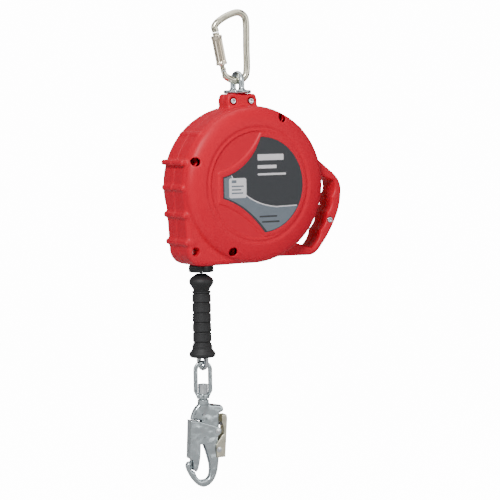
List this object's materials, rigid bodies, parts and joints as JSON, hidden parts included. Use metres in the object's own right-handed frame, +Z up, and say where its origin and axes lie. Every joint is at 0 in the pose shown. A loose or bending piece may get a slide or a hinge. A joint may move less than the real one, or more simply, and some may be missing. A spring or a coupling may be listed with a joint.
{
  "type": "self retracting lifeline",
  "caption": "Self retracting lifeline: a round moulded housing with a carry handle, a swivel eye and carabiner on top, and a wire rope line ending in a bumper, swivel link and snap hook.",
  "frame": {"origin": "where the drum axis meets the flat back face of the rear cover", "axes": "+Z up, towards the anchor eye; -Y towards the front label; +X towards the carry handle"},
  "size_m": [0.2815, 0.0982, 0.71],
  "materials": {
    "red_shell": "moulded plastic with a fine satin grain",
    "label_dark": "printed film label, charcoal",
    "label_grey": "printed film label, cool grey",
    "label_white": "printed film label, white",
    "zinc_steel": "bright zinc plating with a faint blue cast",
    "chromate_steel": "yellow chromate over zinc, polished by use",
    "dark_steel": "oiled black oxide",
    "spring_steel": "bright drawn wire or strip",
    "aluminium": "cast and machined",
    "bronze": "sintered bearing bronze",
    "friction": "pressed friction lining",
    "black_plastic": "moulded plastic, satin",
    "rubber": "moulded rubber, matt",
    "wire_rope": "galvanised wire rope"
  },
  "bodies": {
    "housing": {"front_cover": "red_shell", "rear_cover": "red_shell", "front_label": "label_dark", "label_band": "label_grey", "class_sticker": "label_white", "rear_label": "label_white", "cover_screw_1": "zinc_steel", "cover_screw_2": "zinc_steel", "cover_screw_3": "zinc_steel", "cover_screw_4": "zinc_steel", "neck_left_bolt": "zinc_steel", "neck_left_nut": "zinc_steel", "neck_right_bolt": "zinc_steel", "neck_right_nut": "zinc_steel", "handle_bolt": "zinc_steel", "handle_nut": "zinc_steel", "cable_nozzle": "black_plastic", "load_strap": "zinc_steel", "main_shaft": "dark_steel", "shaft_nut_front": "zinc_steel", "shaft_nut_rear": "zinc_steel", "spring_cup": "zinc_steel", "power_spring": "spring_steel", "inner_lining": "friction", "backing_plate": "zinc_steel", "outer_lining": "friction", "pressure_plate": "zinc_steel", "belleville_washer": "spring_steel"},
    "brake": {"brake_cup": "zinc_steel"},
    "drum": {"drum": "aluminium", "bushing_front": "bronze", "bushing_rear": "bronze", "wound_cable": "wire_rope", "pawl_pin_1": "zinc_steel", "pawl_pin_2": "zinc_steel", "pawl_spring_1": "spring_steel", "pawl_spring_2": "spring_steel"},
    "pawl_1": {"pawl_1": "dark_steel"},
    "pawl_2": {"pawl_2": "dark_steel"},
    "anchor_eye": {"swivel_eye": "zinc_steel", "eye_nut": "zinc_steel"},
    "carabiner": {"carabiner_body": "chromate_steel", "carabiner_pin": "zinc_steel"},
    "carabiner_gate": {"carabiner_gate": "chromate_steel", "carabiner_gate_spring": "spring_steel"},
    "gate_sleeve": {"gate_sleeve": "chromate_steel"},
    "lifeline": {"cable_run": "wire_rope", "swage_ferrule": "aluminium", "thimble": "zinc_steel", "bumper": "rubber"},
    "link": {"swivel_link": "zinc_steel"},
    "snap_hook": {"hook_body": "zinc_steel", "stem_nut": "zinc_steel", "gate_rivet": "zinc_steel", "lever_rivet": "zinc_steel", "stop_pin": "zinc_steel", "hook_gate_spring": "spring_steel", "lever_spring": "spring_steel"},
    "hook_gate": {"hook_gate": "zinc_steel"},
    "lock_lever": {"lock_lever": "zinc_steel"}
  },
  "joints": [
    {"name": "eye_swivel", "type": "hinge", "parent": "housing", "child": "anchor_eye", "pos_m": [-0.0075, -0.049, 0.14], "axis": [0, 0, 1], "continuous": true},
    {"name": "carabiner_rock", "type": "hinge", "parent": "anchor_eye", "child": "carabiner", "pos_m": [-0.00799, -0.0489, 0.1535], "axis": [0.9781, -0.2079, 0], "range_deg": [-70, 70]},
    {"name": "carabiner_gate_swing", "type": "hinge", "parent": "carabiner", "child": "carabiner_gate", "pos_m": [-0.02863, -0.04451, 0.1685], "axis": [0.2079, 0.9781, 0], "range_deg": [0, 25], "stiffness_Nm_per_rad": 0.2},
    {"name": "sleeve_twist", "type": "hinge", "parent": "carabiner_gate", "child": "gate_sleeve", "pos_m": [-0.02863, -0.04451, 0.1685], "axis": [-0.1805, 0.0384, 0.9828], "range_deg": [0, 90]},
    {"name": "lifeline_pull", "type": "slide", "parent": "housing", "child": "lifeline", "axis": [0, 0, -1], "range_m": [0, 10], "stiffness_N_per_m": 2, "springref_m": -8},
    {"name": "drum_spin", "type": "hinge", "parent": "housing", "child": "drum", "pos_m": [0, -0.049, 0], "axis": [0, -1, 0], "range_deg": [0, 7831]},
    {"name": "brake_slip", "type": "hinge", "parent": "housing", "child": "brake", "pos_m": [0, -0.069, 0], "axis": [0, -1, 0], "continuous": true},
    {"name": "pawl_1_swing", "type": "hinge", "parent": "drum", "child": "pawl_1", "pos_m": [0.04, -0.0669, 0], "axis": [0, 1, 0], "range_deg": [0, 20], "stiffness_Nm_per_rad": 0.05},
    {"name": "pawl_2_swing", "type": "hinge", "parent": "drum", "child": "pawl_2", "pos_m": [-0.04, -0.0669, 0], "axis": [0, 1, 0], "range_deg": [0, 20], "stiffness_Nm_per_rad": 0.05},
    {"name": "link_swing", "type": "hinge", "parent": "lifeline", "child": "link", "pos_m": [-0.073, -0.049, -0.2631], "axis": [0.9848, -0.1736, 0], "range_deg": [-70, 70]},
    {"name": "hook_swivel", "type": "hinge", "parent": "link", "child": "snap_hook", "pos_m": [-0.073, -0.049, -0.318], "axis": [0, 0, 1], "continuous": true},
    {"name": "hook_gate_swing", "type": "hinge", "parent": "snap_hook", "child": "hook_gate", "pos_m": [-0.05337, -0.05072, -0.367], "axis": [-0.0872, -0.9962, 0], "range_deg": [0, 14], "stiffness_Nm_per_rad": 0.2},
    {"name": "lever_squeeze", "type": "hinge", "parent": "snap_hook", "child": "lock_lever", "pos_m": [-0.05188, -0.05085, -0.395], "axis": [-0.0872, -0.9962, 0], "range_deg": [0, 6], "stiffness_Nm_per_rad": 0.2, "deforming": ["lever_spring"]}
  ],
  "couplings": [
    {"joint": "drum_spin", "follows": "lifeline_pull", "rad_per_m": 13.666},
    {"joint": "pawl_2_swing", "follows": "pawl_1_swing", "ratio": 1}
  ]
}
